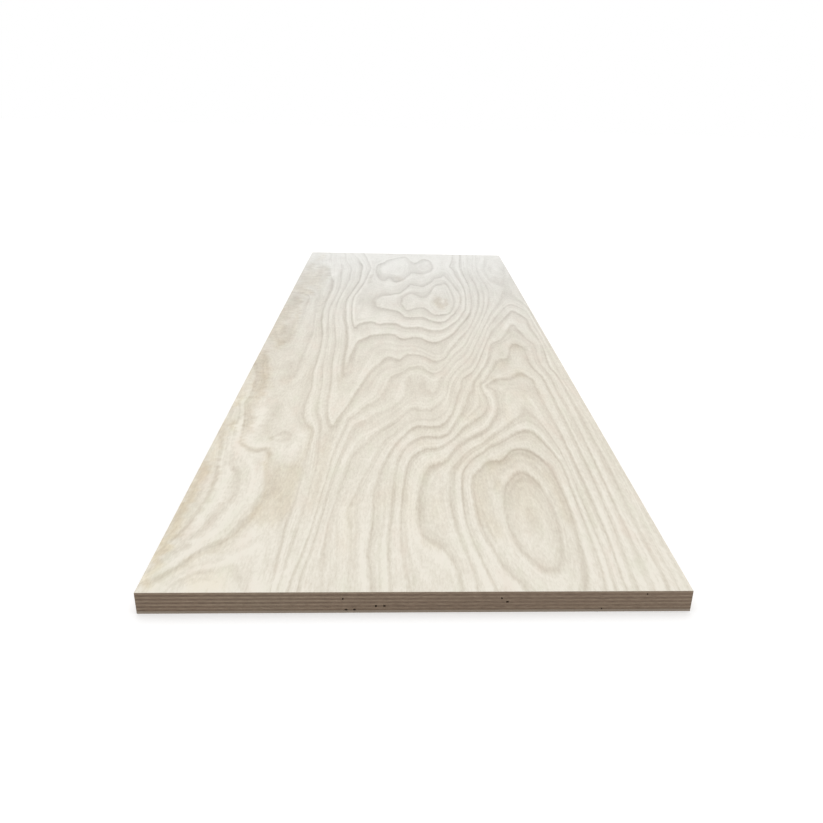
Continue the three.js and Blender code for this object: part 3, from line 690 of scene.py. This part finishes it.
# Soft strokes over the figure: steps darker (below 0) or paler, the brown stain, how far the
# stroke reaches to the left and to the right of its route, or to both, and the route.
face_strokes = [
    # The left edge's tan strip and the dark line inside it.
    (-12, 1.0, 5, [(3, 60), (4, 110), (4, 190)]), (-5, 0.5, 5, [(5, 190), (6, 240), (4, 300)]),
    (-7, 0.9, 4, [(5, 12), (6, 35), (5, 60)]), (-5, 0.4, 5, [(2, 350), (3, 400)]),
    (-12, 0.2, 4, 2, [(10, 72), (14, 92), (18, 112), (19.5, 130), (19.5, 160), (18, 185), (14, 205)]),
    # Two pale lobes that fan out of the near corner, and the dark strokes beside them.
    (12, 0, 5, [(22, 95), (28, 125), (29, 150), (26, 175), (19, 205), (17, 228)]),
    (-7, 0, 3, [(12, 47), (18, 59), (22, 70), (26, 84), (30, 97)]),
    (-12, 0, 5, [(32, 100), (38, 122), (41.5, 148), (39, 170), (33, 188)]),
    (-7, 0, 3, [(33, 188), (24, 215), (19, 240)]),
    (11, 0, 7, [(32, 78), (42, 100), (52, 130), (54, 160), (46, 195), (34, 218), (20, 275)]),
    (6, 0, 3, [(12, 32), (22, 48), (32, 68)]),
    (-6, 0.3, 2, 5, [(14, 20), (22, 30), (31, 43), (42, 57), (52, 74), (60, 96), (66, 120)]),
    (-6, 0.4, 3, 4, [(64, 105), (67, 125), (68, 150), (64, 180), (60, 200), (58, 222)]),
    (-12, 0.2, 2, 3, [(60, 222), (55, 234), (46, 230), (36, 235), (29, 244), (26, 258), (24, 278)]),
    (-9, 0.1, 1.5, [(44, 51), (53, 50)]), (-14, 0.1, 0.8, [(49, 0), (48, 8)]),
    # The brown blotch, square at its far end and straight along its right side.
    (-9, 0.4, 5, 6, [(72, 103), (75, 150), (72, 190)]), (-9, 0.4, 6, [(82, 103), (84, 193)]),
    (-9, 0.4, 6, 4, [(91, 116), (92.5, 193)]),
    (-5, 0.2, 5, 3, [(93, 212), (95, 240), (96, 275), (91, 290)]),
    (12, 0, 9, 8, [(70, 232), (80, 240), (83, 262)]),
    # The swirl beyond it.
    (12, 0, 5, [(32, 250), (42, 243), (54, 248)]), (-16, 0.2, 2.5, [(55, 256), (57, 261)]),
    (-14, 0, 2, [(57, 259), (62, 268), (68, 272), (74, 267), (74, 258), (68, 253), (62, 254)]),
    (-7, 0.1, 4, [(49, 272), (51, 288)]),
    (-13, 0.3, 4, [(14, 362), (17, 345), (23, 320), (28, 300), (30, 288)]),
    (-6, 0.1, 6, [(23, 345), (25, 358)]), (10, 0, 2.5, [(11, 358), (15, 337), (19, 312), (21, 280)]),
    (12, 0, 2.5, [(2, 361), (18, 362), (34, 362)]), (15, 0, 5, [(38, 288), (38, 332)]),
    (-8, 0, 4, [(51, 312), (53, 348)]),
    # Pale wood along the near end, and a painted highlight along its very edge, at two millimetres, where
    # the arris catches the light.
    (9, 0.4, 7, [(38, 12), (58, 13)]), (8, 0, 12, [(66, 62), (76, 84)]), (11, 0, 4, [(10, 2), (92, 2)]),
    (8, 0, 3, [(0, 14), (4, 18)]), (6, 0, 4, [(0, 55), (4, 68)]), (-4, 0, 9, [(22, 10), (24, 30)]),
    (8, 0, 5, [(98, 8), (100, 22)]), (-7, 0, 2, [(124, 0), (124, 45)]), (6, 0, 5, [(134, 5), (134, 22)]),
    (-6, 0.1, 6, [(112, 238), (113, 268)]),
    # The left band's tan flames and the pale wood between them, from end to end.
    (-16, 0.6, 5, 8, [(7, 524), (13, 492), (18, 455), (22, 425), (23, 392), (25, 374)]),
    (-6, 0.3, 5, [(24, 438), (27, 458)]), (7, 0, 3, [(5, 460), (9, 435)]),
    (-8, 0, 6, [(48, 422), (48, 438)]), (-7, 0, 3, 2, [(57, 440), (58, 500), (58, 560), (60, 620)]),
    (4, 0, 10, [(36, 505), (40, 545)]), (-12, 0.5, 6, [(9, 602), (16, 585), (22, 566)]),
    (-11, 0.4, 8, 5, [(28, 590), (31, 620), (32, 680)]), (-14, 0.5, 5, [(17, 618), (17, 652)]),
    (-12, 0.5, 5, [(2, 612), (4, 700), (4, 790)]), (5, 0, 8, [(44, 645), (44, 700)]),
    (-18, 0.6, 9, 8, [(14, 700), (17, 760), (16, 800), (12, 818)]), (-7, 0.3, 3, [(28, 700), (28, 740)]),
    (-9, 0.3, 3, [(33, 770), (36, 812)]),
    (-11, 0.8, 4, [(2, 890), (13, 884), (21, 873), (31, 862), (37, 845)]),
    (-12, 0.8, 5, [(16, 860), (22, 847), (26, 838)]), (-7, 0.4, 4, [(1, 820), (2, 860)]),
    (-6, 0.5, 14, [(18, 940), (24, 1050)]), (-9, 0.8, 9, [(12, 965), (12, 1005)]),
    (-10, 0.7, 6, [(30, 935), (33, 970), (32, 1000)]),
    (-10, 0.4, 7, 5, [(44, 940), (47, 970), (49, 1002)]),
    (-9, 0.1, 4, 3, [(61, 957), (64, 938), (66, 910), (67, 880), (66, 840), (64, 800)]),
    (-9, 0.1, 3, [(62, 792), (59, 770)]), (-6, 0.1, 4, [(52, 792), (50, 850), (44, 892)]),
    (-7, 0.1, 4, [(58, 825), (58, 795), (60, 730)]), (-5, 0.6, 10, [(10, 900), (30, 920), (45, 900)]),
    (-6, 0.5, 8, [(34, 950), (36, 1015)]), (-6, 0.3, 4, [(50, 945), (49, 1000)]),
    (-6, 0.5, 7, [(42, 1035), (34, 1025)]), (10, 0.1, 3, [(58, 992), (63, 966)]),
    (-11, 0.5, 6, 5, [(35, 1055), (38, 1058), (44, 1048), (47, 1034)]),
    (-10, 0.8, 6, [(12, 1045), (13, 1085)]), (11, 0, 5, [(22, 1050), (26, 1068)]),
    (-5, 0.8, 7, [(22, 1130), (25, 1175)]), (-8, 0, 5, [(32, 1112), (42, 1128)]),
    (8, 0, 4, [(44, 1092), (52, 1070), (57, 1040), (59, 985)]), (6, 0, 8, [(54, 1110), (58, 1185)]),
    (-9, 0, 3.5, [(74, 1074), (78, 1050), (79, 1028)]), (9, 0, 5, [(66, 1000), (69, 1050)]),
    (9, 0, 4, [(67, 1098), (65, 1125)]), (-5, 0.1, 5, [(72, 560), (68, 640)]),
    (-8, 0.2, 5, [(45, 428), (52, 424)]), (4, 0, 9, [(36, 395), (48, 385), (50, 365)]),
    (4, 0, 7, [(66, 330), (68, 290)]), (4, 0, 6, [(86, 335), (86, 310)]),
    (5, 0, 3, [(40, 238), (56, 240)]), (6, 0, 4, [(42, 302), (34, 308)]),
    (-8, 0.2, 4, 3, [(32, 293), (33, 275)]), (9, 0.1, 2.5, [(21, 296), (22, 276)]),
    (9, 0.1, 2.5, [(22, 242), (28, 225)]), (-7, 0.6, 3, [(13, 296), (16, 282)]),
    (-6, 0, 7, [(5, 175), (7, 125)]), (5, 0, 6, [(24, 180), (23, 130)]),
    (6, 0, 3, [(64, 98), (69, 118), (76, 138)]), (-6, 0.1, 3, [(36, 64), (50, 88), (60, 118), (62, 130)]),
    (-6, 0.2, 4, [(62, 198), (66, 205)]), (-6, 0.1, 3, [(54, 55), (62, 66)]),
    (-8, 0.5, 2, 3, [(4, 345), (7, 372)]), (-6, 0.4, 3, [(2, 430), (2, 500)]),
    (5, 0, 3, [(12, 392), (13, 370)]), (7, 0.1, 4, [(15, 474), (20, 440)]),
    (-6, 0.3, 5, [(21, 545), (18, 575)]), (-8, 0.2, 4, [(32, 580), (35, 598)]),
    (-3, 0, 9, [(24, 490), (38, 480)]), (-5, 0.1, 4, [(73, 470), (76, 430)]),
    (-5, 0.1, 4, [(116, 440), (116, 420)]), (4, 0, 5, [(124, 470), (126, 440)]),
    (6, 0, 3, [(155, 512), (162, 528)]), (5, 0, 6, [(88, 1105), (90, 1180)]),
    (5, 0, 6, [(84, 985), (86, 1030)]), (6, 0, 5, [(130, 1005), (128, 1060), (127, 1150)]),
    (-6, 0.5, 4, [(23, 795), (22, 812)]), (-6, 0.5, 5, 4, [(22, 858), (34, 852)]),
    (-5, 0.5, 5, [(3, 735), (4, 752)]), (-6, 0.6, 5, [(4, 865), (6, 880)]),
    (-5, 0.4, 5, [(10, 628), (11, 672)]), (6, 0, 4, [(3, 284), (3, 316)]),
    (11, 0, 4, [(58, 970), (62, 948)]), (5, 0, 3, [(88, 332), (90, 368)]),
    (-7, 0.4, 5, [(3, 1012), (3, 980)]), (-7, 0, 3, [(101, 788), (103.5, 838)]),
    (-6, 0.1, 4, [(61, 688), (68, 645)]), (-5, 0, 3, [(69, 705), (77, 615)]),
    (7, 0, 4, [(23, 607), (29, 585)]), (6, 0.2, 4, [(6, 640), (13, 650)]),
    (-6, 0.4, 3.5, [(29, 745), (29.5, 690)]), (8, 0, 3, [(88, 545), (87.5, 485)]),
    (-8, 0.4, 3, [(9, 420), (12, 400)]), (-6, 0.2, 4, [(30, 410), (34, 400)]),
    (7, 0, 3.5, [(26, 380), (31, 384)]), (5, 0, 5, [(34, 500), (48, 500)]),
    (-7, 0.2, 3, [(15.5, 300), (17, 276)]), (7, 0, 3, [(8, 306), (8, 292)]),
    (11, 0, 2.5, [(20, 302), (23.5, 284)]), (6, 0, 3, [(22, 252), (26, 234)]),
    (7, 0, 3, [(32, 268), (38, 262)]), (7, 0, 3, [(7, 240), (17, 238)]),
    (-8, 0.2, 3, [(27, 252), (33, 243)]), (6, 0, 3, [(55, 253), (65, 250)]),
    (-4, 0, 3.5, [(64, 96), (90, 100)]), (-6, 0, 3, [(90, 102), (90, 78)]),
    # The near hill: its oval and the ring round it are darker all over.
    (-8, 0.3, 16, [(296, 125), (298, 165)]),
    (-9, 0.3, 5, 7, [(265, 80), (259, 105), (258, 130), (262, 170), (275, 195)]),
    (-12, 0.3, 6, 4, [(323, 180), (326, 160), (327, 120), (327, 100)]),
    (-7, 0, 3, [(273, 172), (281, 186), (292, 195), (308, 196), (317, 180), (321, 150), (321, 125)]),
    (-7, 0.2, 6, [(290, 212), (306, 220), (316, 210)]), (-10, 0.3, 5, [(272, 203), (284, 208)]),
    (-7, 0.1, 5, [(306, 262), (320, 268), (328, 250)]), (-14, 0.3, 4, 3, [(275, 156), (277.5, 167)]),
    (-6, 0.2, 3, [(253, 95), (253, 140), (256, 180)]),
    (-5, 0.1, 3, [(336, 225), (338.5, 200), (338, 160)]), (5, 0, 4, [(325, 165), (322, 195)]),
    (4, 0, 9, [(345, 30), (344, 85)]), (4, 0, 10, [(372, 20), (374, 75)]),
    (4, 0, 9, [(292, 40), (304, 50)]), (5, 0, 2, [(240, 125), (242, 80), (247, 45), (250, 20)]),
    (-4, 0.2, 7, [(241, 196), (262, 232), (286, 262)]), (-6, 0.1, 5, [(252, 267), (260, 283)]),
    (-6, 0.1, 5, [(314, 162), (315, 186)]), (6, 0, 4, [(264, 240), (273, 251)]),
    (-8, 0, 2, [(324.5, 0), (325, 12)]), (6, 0, 3, [(336, 245), (341.5, 218)]),
    (5, 0, 5, [(252, 15), (272, 8)]), (-5, 0, 5, [(257, 105), (267, 110)]),
    (-7, 0, 3, [(275, 150), (277, 165)]), (-6, 0, 4, [(321, 142), (321, 100), (318, 78)]),
    (6, 0, 3, [(337, 95), (337, 62)]), (6, 0, 3, [(355, 65), (358, 22)]),
    (-8, 0, 3, [(398, 60), (398, 118)]),
    # The shoulder left of the near hill.
    (-4, 0.2, 6, [(208, 182), (216, 200), (230, 210)]), (-6, 0.2, 4, [(207, 246), (222, 245)]),
    (-5, 0.2, 7, [(217, 112), (217, 130)]), (-6, 0.2, 3, [(206, 62), (217, 60)]),
    (5, 0, 6, [(208, 82), (222, 38)]), (-4, 0.2, 9, [(197, 105), (188, 150), (170, 130)]),
    (-4, 0.2, 7, [(144, 60), (144, 125)]), (-4, 0.2, 8, [(112, 130), (113, 200), (112, 232)]),
    (-7, 0.2, 5, [(258, 314), (270, 320)]), (5, 0, 8, [(222, 380), (210, 368)]),
    (6, 0, 6, [(204, 448), (216, 445)]), (-5, 0.1, 7, [(281, 350), (281, 425)]),
    (-3, 0.1, 22, [(264, 340), (268, 420)]), (-6, 0.2, 5, [(305, 312), (308, 350)]),
    (-5, 0.1, 5, [(204, 276), (232, 275)]), (6, 0, 6, [(206, 20), (222, 40)]),
    (6, 0, 4, [(113, 285), (115, 298)]), (-6, 0, 7, [(118, 18), (125, 45)]),
    (5, 0, 4, [(172, 115), (173, 165)]), (-7, 0, 3, [(119, 255), (124, 288), (131, 318)]),
    # The right-hand arch: a dark cap, a dark hook and a fleck inside it.
    (-11, 0.3, 6, [(342, 562), (350, 570)]), (-9, 0.3, 6, [(316, 487), (324, 498)]),
    (-8, 0.3, 4, [(331, 450), (338, 455), (343, 450)]), (-5, 0.2, 4, [(334, 471), (344, 471)]),
    (-7, 0.1, 8, [(312, 388), (332, 386)]), (-5, 0.1, 6, [(333, 360), (334, 395)]),
    (9, 0, 7, [(324, 352), (327, 366)]), (-5, 0.1, 11, [(352, 520), (354, 575)]),
    (-4, 0.1, 9, [(322, 560), (334, 575)]), (-6, 0.1, 8, [(348, 610), (350, 640)]),
    (7, 0, 3, [(362, 668), (370, 635)]), (7, 0, 3, [(350, 672), (343, 650)]),
    (-3, 0, 45, [(325, 110), (330, 450)]), (-6, 0.1, 3, [(352.5, 365), (352.5, 435)]),
    (-6, 0, 3, [(366.5, 380), (366.5, 435)]), (-6, 0, 4, [(392, 300), (393, 350)]),
    (4, 0, 3, [(395, 430), (396, 560)]), (-6, 0.1, 3, [(349, 90), (352, 150)]),
    (-4, 0, 4, [(379, 165), (379.5, 265)]),
    (-7, 0, 3, [(370, 165), (370, 205), (373, 300), (373.5, 345)]),
    (-5, 0, 2.5, [(386, 190), (385, 240), (386.5, 340)]),
    (-6, 0, 2.5, [(394, 180), (393.4, 235), (394.4, 310)]),
    (-6, 0, 2.5, [(236, 60), (232.6, 92), (231, 125)]), (6, 0, 4, [(310, 428), (338, 430)]),
    (6, 0, 3, [(296, 407), (306, 403)]), (-6, 0.1, 3, [(297, 440), (304, 440)]),
    (5, 0, 7, [(340, 492), (344, 505)]), (6, 0, 3, [(394, 20), (394, 420)]),
    (6, 0, 3, [(394, 600), (394, 800)]), (-5, 0.1, 4, [(302, 436), (318, 436)]),
    (-5, 0.1, 5, [(338, 642), (342, 668)]), (-5, 0, 3, [(382, 620), (382, 688)]),
    (-5, 0, 4, [(354, 502), (354, 548)]), (6, 0, 4, [(316, 512), (324, 512)]),
    (-6, 0, 3, [(388, 605), (387, 680)]), (-6, 0, 3, [(391, 372), (392, 390)]),
    (-6, 0, 3, [(380, 425), (382, 388)]), (-6, 0, 4, [(361, 480), (363, 500)]),
    (-7, 0, 4, [(362, 558), (364, 572)]), (-6, 0, 3, [(383, 540), (387, 570)]),
    (-5, 0, 4, [(308, 512), (320, 525)]),
    # The middle hill.
    (-8, 0, 11, [(206, 395), (206, 422)]), (-3, 0, 5, [(178, 440), (177, 400)]),
    (-6, 0, 2, 4, [(182, 452), (196, 474), (208, 477), (218, 466), (230, 449)]),
    (10, 0, 3, [(120, 455), (122, 490)]), (-5, 0.1, 4, [(113, 432), (117, 488)]),
    (5, 0, 4, [(230, 446), (242, 445)]), (6, 0, 4, [(109, 685), (117, 655)]),
    (-6, 0, 4, [(122, 690), (134, 688)]), (-4, 0, 5, [(148, 631), (182, 634)]),
    (-4, 0, 4, [(210, 550), (238, 523)]), (6, 0, 4, [(200, 528), (212, 522)]),
    (5, 0, 7, [(262, 495), (273, 475)]), (4, 0, 4, [(204, 443), (216, 442)]),
    # The far hill: its eye, the ovals beyond it and the shade between the lines.
    (-18, 0.9, 6, 7, [(252, 822), (248, 800), (251, 785), (256, 772)]),
    (-12, 0.7, 3, [(264, 818), (264, 785)]), (16, 0, 2, [(259, 804), (259, 817)]),
    (-8, 0, 4, 6, [(153, 790), (156, 772), (176, 756), (188, 740)]),
    (6, 0, 9, [(128, 712), (152, 722), (142, 745)]), (-8, 0.1, 3, [(144, 835), (142, 805), (146, 780)]),
    (-5, 0, 4, [(124, 690), (150, 688), (178, 681)]), (-5, 0, 5, [(122, 712), (126, 725)]),
    (-4, 0, 7, [(122, 785), (130, 820)]), (4, 0, 8, [(112, 745), (114, 790)]),
    (-6, 0.1, 5, [(205, 716), (216, 718)]), (6, 0, 6, [(202, 690), (222, 684)]),
    (-5, 0, 7, [(192, 735), (196, 715)]), (5, 0, 10, [(212, 808), (225, 800)]),
    (-7, 0.3, 4, [(254, 794), (262, 788)]), (5, 0, 7, [(264, 1020), (267, 1060)]),
    (6, 0, 6, [(235, 855), (245, 832)]), (6, 0, 8, [(258, 875), (264, 895)]),
    (5, 0, 12, [(232, 960), (240, 990)]), (4, 0, 10, [(170, 700), (140, 700)]),
    (4, 0, 9, [(140, 652), (175, 652)]),
    (-6, 0, 4, [(206, 908), (220, 900), (238, 920), (250, 955), (262, 978)]),
    (-6, 0, 6, [(264, 960), (274, 950)]), (-9, 0, 4, [(252, 912), (262, 922)]),
    (-5, 0, 9, [(252, 720), (262, 738)]), (-8, 0, 4, [(123, 785), (123, 822)]),
    (-5, 0, 6, [(122, 710), (124, 750)]), (7, 0, 6, [(170, 880), (174, 895)]),
    (8, 0, 14, [(176, 1055), (182, 1115)]), (-7, 0.4, 5, 6, [(180, 978), (192, 960)]),
    (-7, 0.1, 5, [(149, 1000), (155, 978)]), (-8, 0.1, 6, [(184, 975), (188, 950)]),
    (-8, 0.1, 5, [(219, 1006), (230, 1003)]), (9, 0, 3, [(201, 1030), (201, 1100)]),
    (-13, 0.2, 3, [(131, 930), (133, 975), (135, 1000)]), (6, 0, 6, [(147, 925), (148, 975)]),
    (10, 0, 9, [(165, 905), (168, 935)]), (4, 0, 8, [(266, 1075), (268, 1130)]),
    (-6, 0.1, 5, [(108, 930), (109, 1050)]), (-5, 0, 5, [(322, 885), (324, 990)]),
    (-6, 0, 3, [(306, 1005), (306, 1105)]), (-6, 0.2, 4, [(288, 802), (288, 838)]),
    (-7, 0, 3.5, [(308, 1000), (310, 1055)]), (-5, 0, 7, [(272, 925), (275, 975)]),
    (-5, 0, 3, [(322, 840), (327, 880), (328, 925)]), (5, 0, 5, [(291, 1008), (297, 985)]),
    # The far right corner.
    (-7, 0.1, 4, [(361, 962), (366, 980), (368, 1000)]), (8, 0, 4, [(384, 948), (394, 975), (396, 1000)]),
    (-6, 0, 5, [(316, 950), (316, 1000), (318, 1070)]), (7, 0, 9, [(368, 1015), (375, 1050)]),
    (-6, 0, 4, [(360, 786), (372, 790), (382, 784)]), (-6, 0, 5, [(292, 712), (298, 728)]),
    (-8, 0, 3, [(381, 965), (386, 1000), (391, 1040), (395, 1075)]), (5, 0, 8, [(350, 840), (352, 885)]),
    (-6, 0, 6, [(336, 692), (348, 716), (356, 738)]), (-5, 0, 7, [(376, 705), (380, 735)]),
]

# Steps of tone that change along the sheet only, eased between these places along it. The paling over the
# last stretch to the far end is painted sheen; the rest is the leaf's own slow change of tone.
slow_tone_and_sheen = [(0, 6), (75, 4), (225, -0.5), (375, -2), (525, -5), (825, -5), (975, -3),
             (1060, 2), (1200, 12)]


def carve_years(sheet, spots, lines, extra, strokes, stops):
    """Writes the leaf's attributes: its year, the strength of its lines, how many millimetres a
    year takes up, how squarely its lines cross the sheet, the slow changes of its tone in steps,
    whose paling towards the far end is painted sheen, and its stain."""
    years, strengths = year_field(spots, lines, extra)
    slope = np.gradient(years.reshape(CELLS_ALONG + 1, -1),
                        2 * HALF_LENGTH / SQUEEZE / CELLS_ALONG, 2 * HALF_WIDTH / CELLS_ACROSS)
    steepness = np.clip(np.hypot(*slope), FLATTEST, STEEPEST)
    steps, stain = brushed(spots, strokes)
    places, slow = np.array(stops, float).T
    attributes = {
        "year": years, "line_strength": strengths, "year_width": 1.0 / steepness.ravel(),
        "crossing": (np.abs(slope[0]) / steepness).ravel(),
        "patch_and_sheen_tone": steps + np.interp(spots[:, 1], places, slow), "stain": stain}
    for name, values in attributes.items():
        write_attribute(sheet, name, values)


face, spots = leaf("birch_face", FACE_BOTTOM, SHEET_TOP, True)
carve_years(face, spots, growth_lines, between_lines, face_strokes, slow_tone_and_sheen)

# The steps of tone that a unit of each noise adds, and those that a growth line adds or takes.
FINE, MEDIUM, BROAD, INNER, CURL = 11.0, 4.0, 6.0, 9.0, 7.0
LINE_PALE, LINE_CREST, LINE_DARK, LINE_SQUARE, LINE_CORE = 5.0, 4.4, 12.5, 7.5, 6.0
DARK_STEPS = 48.0
PALE_STEPS = 16.0
LATE_WOOD = tone(178, 164, 144.5)
EARLY_WOOD = tone(227, 220, 204.5)
PALEST_WOOD = tone(241, 235, 221.5)
STAINED = tone(255, 250, 239)
PINK = tone(228, 209, 193)
OLIVE = tone(214, 216, 191)
# Painted sheen: the cool pale tint that the wood takes on towards the far end, standing for the white
# surroundings reflected there.
SHEEN_TINT = tone(253, 255, 255)
RIM_BROWN = tone(150, 130, 110)


def birch_material(name, other_log):
    """Sanded birch. Each year darkens towards its end and stops at a sharp line, with a pale
    crest past it. The tone, in steps of 1/255, sums that, the patches and the slow steps along
    the sheet, whose paling at the far end is painted sheen, fine streaks along the fibre, slow
    drifts, and ripples in stained wood and near the face's left edge. It picks a colour between
    late and early wood, then greys and cools it towards the far end as painted sheen of the
    white surroundings. other_log moves every noise to another place, in millimetres, for a
    leaf of another log."""
    material, tree, output = new_material(name)
    (x, y, _), (_, _, face_z) = place_in_mm(tree)
    # Greyer and cooler towards the far end: painted sheen, not the wood's own colour.
    painted_sheen = between(y, -300.0, 640.0) * 0.62
    x = x + other_log
    year, strength, patch_and_sheen, stain, width, crossing = [
        tree.node("Attribute", {"attribute_name": word}, output="Fac") for word in
        ("year", "line_strength", "patch_and_sheen_tone", "stain", "year_width", "crossing")]

    feather = noise(tree, (x * 0.30, y * 0.05, 1.0), 3.0, 0.65)
    reach = (width.math("POWER", -1.0) * 0.9).math("MINIMUM", 0.06)
    season = (year + (feather + 0.4) * reach).math("FRACT")
    past = season * width
    ahead = (1.0 - season) * width
    late = (1.0 - ahead / (width * 0.55).math("MINIMUM", 20.0)).math("MAXIMUM", 0.0)
    late = late.math("MAXIMUM", 1.0 - past / 2.8)
    core = 1.0 - between(ahead.math("MINIMUM", past) / (width * 0.12 + 1.5), 0.0, 1.0)
    crest = between(past, 1.2, 3.6) * (1.0 - between(past, 4.0, 9.0))
    vary = noise(tree, (x * 0.03, y * 0.008, 7.0), 1.0) * 0.25 + 1.0
    shade = late.math("POWER", 1.6) * (LINE_DARK + crossing * LINE_SQUARE)
    line = strength * vary * (LINE_PALE + crest * LINE_CREST - shade - core * LINE_CORE)

    fine = noise(tree, (x * 0.52, y * 0.14, 2.0), 2.0, 0.7)
    medium = noise(tree, (x * 0.20, y * 0.04, 3.0), 2.0, 0.6)
    broad = noise(tree, (x * 0.06, y * 0.012, 4.0), 2.0, 0.5)
    inner = noise(tree, (year * 5.0, y * 0.006, x * 0.008), 2.0, 0.6)
    ripple = noise(tree, (x * 0.05, y * 0.10, 9.0), 2.0, 0.6)
    curly = between(-x, 130.0, 175.0) * 0.4 + between(stain, 0.1, 0.6) * 0.6
    steps = (line + patch_and_sheen + fine * FINE + medium * MEDIUM + broad * BROAD + inner * INNER
             + ripple * curly * CURL)
    wood = blend(tree, (steps + DARK_STEPS) / DARK_STEPS, LATE_WOOD, EARLY_WOOD)
    wood = blend(tree, steps / PALE_STEPS, wood, PALEST_WOOD)
    wood = blend(tree, stain * (noise(tree, (x * 0.4, y * 0.06, 8.0), 2.0) * 0.25 + 1.0),
                 wood, STAINED, "MULTIPLY")
    blush = noise(tree, (x * 0.05, y * 0.018, 5.0), 3.0, 0.6)
    wood = blend(tree, between(blush, 0.0, 1.0) * 0.25, wood, PINK)
    wood = blend(tree, between(-blush, 0.0, 1.0) * 0.25, wood, OLIVE)
    wood = blend(tree, painted_sheen, wood, wood.node("RGBToBW", sockets={0: wood}))
    wood = blend(tree, painted_sheen, wood, SHEEN_TINT, "MULTIPLY")
    wood = blend(tree, 1.0 - between(face_z, 0.3, 0.7), wood, RIM_BROWN)
    finish_skin(tree, output, wood, 0.50 + fine * 0.03, fine * 0.6 + medium * 0.4, 0.12, 0.0001)
    return material


face.data.materials.append(birch_material("sanded_birch_face", 0.0))
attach(face, "root")
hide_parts("face_veneer")


# ------------------------------------------------------------------ back veneer
# The back is a second leaf of the same birch, as thin as the face, sanded the same and glued
# under the last crossband. It is the plainer leaf: one long arched figure between straight
# lines, and two pin knots. Its noises are read OTHER_LOG millimetres away from the face's.

OTHER_LOG = 900.0

back_lines = {
    "left_1": (1, 0.6, [(18, 0), (26, 260), (40, 520), (36, 800), (22, 1010), (14, 1200)]),
    "left_2": (2, 0.8, [(52, 0), (64, 260), (84, 520), (80, 800), (60, 1010), (48, 1200)]),
    "left_3": (3, 0.7, [(92, 0), (108, 260), (124, 520), (122, 800), (104, 1010), (88, 1200)]),
    "arch_4": (4, 0.9, [(140, 0), (150, 240), (158, 480), (162, 720), (176, 930), (204, 1040), (232, 935),
        (246, 720), (256, 480), (268, 240), (280, 0)]),
    "arch_5": (5, 0.9, [(172, 0), (180, 200), (186, 400), (196, 560), (210, 640), (222, 560), (230, 400),
        (240, 200), (250, 0)]),
    "arch_6": (6, 0.7, [(198, 0), (204, 110), (213, 190), (222, 110), (230, 0)]),
    "right_3": (3, 0.8, [(318, 0), (308, 260), (296, 520), (290, 800), (300, 1010), (316, 1200)]),
    "right_2": (2, 0.6, [(352, 0), (344, 260), (330, 520), (326, 800), (340, 1010), (352, 1200)]),
    "right_1": (1, 0.7, [(384, 0), (378, 260), (366, 520), (362, 800), (374, 1010), (386, 1200)]),
}
back_between = [(0, 100, 0.5, 0.5), (0, 1100, 0.5, 0.5), (400, 600, 0.2, 0.5)]
back_strokes = [
    (-22, 0.6, 3, [(96, 877), (96, 885)]), (-20, 0.6, 2.5, [(338, 347), (338, 353)]),
    (-5, 0.1, 8, [(206, 110), (210, 200)]), (-5, 0.3, 14, [(30, 540), (32, 760)]),
    (4, 0, 12, [(372, 760), (374, 1040)]),
]

BACK_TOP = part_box("back_veneer")[1].z
back, spots = leaf("birch_back", 0.0, BACK_TOP, False)
# The back pales three steps towards the far end: a painted sheen like the face's.
carve_years(back, spots, back_lines, back_between, back_strokes, [(0, 0), (1200, 3)])
back.data.materials.append(birch_material("sanded_birch_back", OTHER_LOG))
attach(back, "root")
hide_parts("back_veneer")
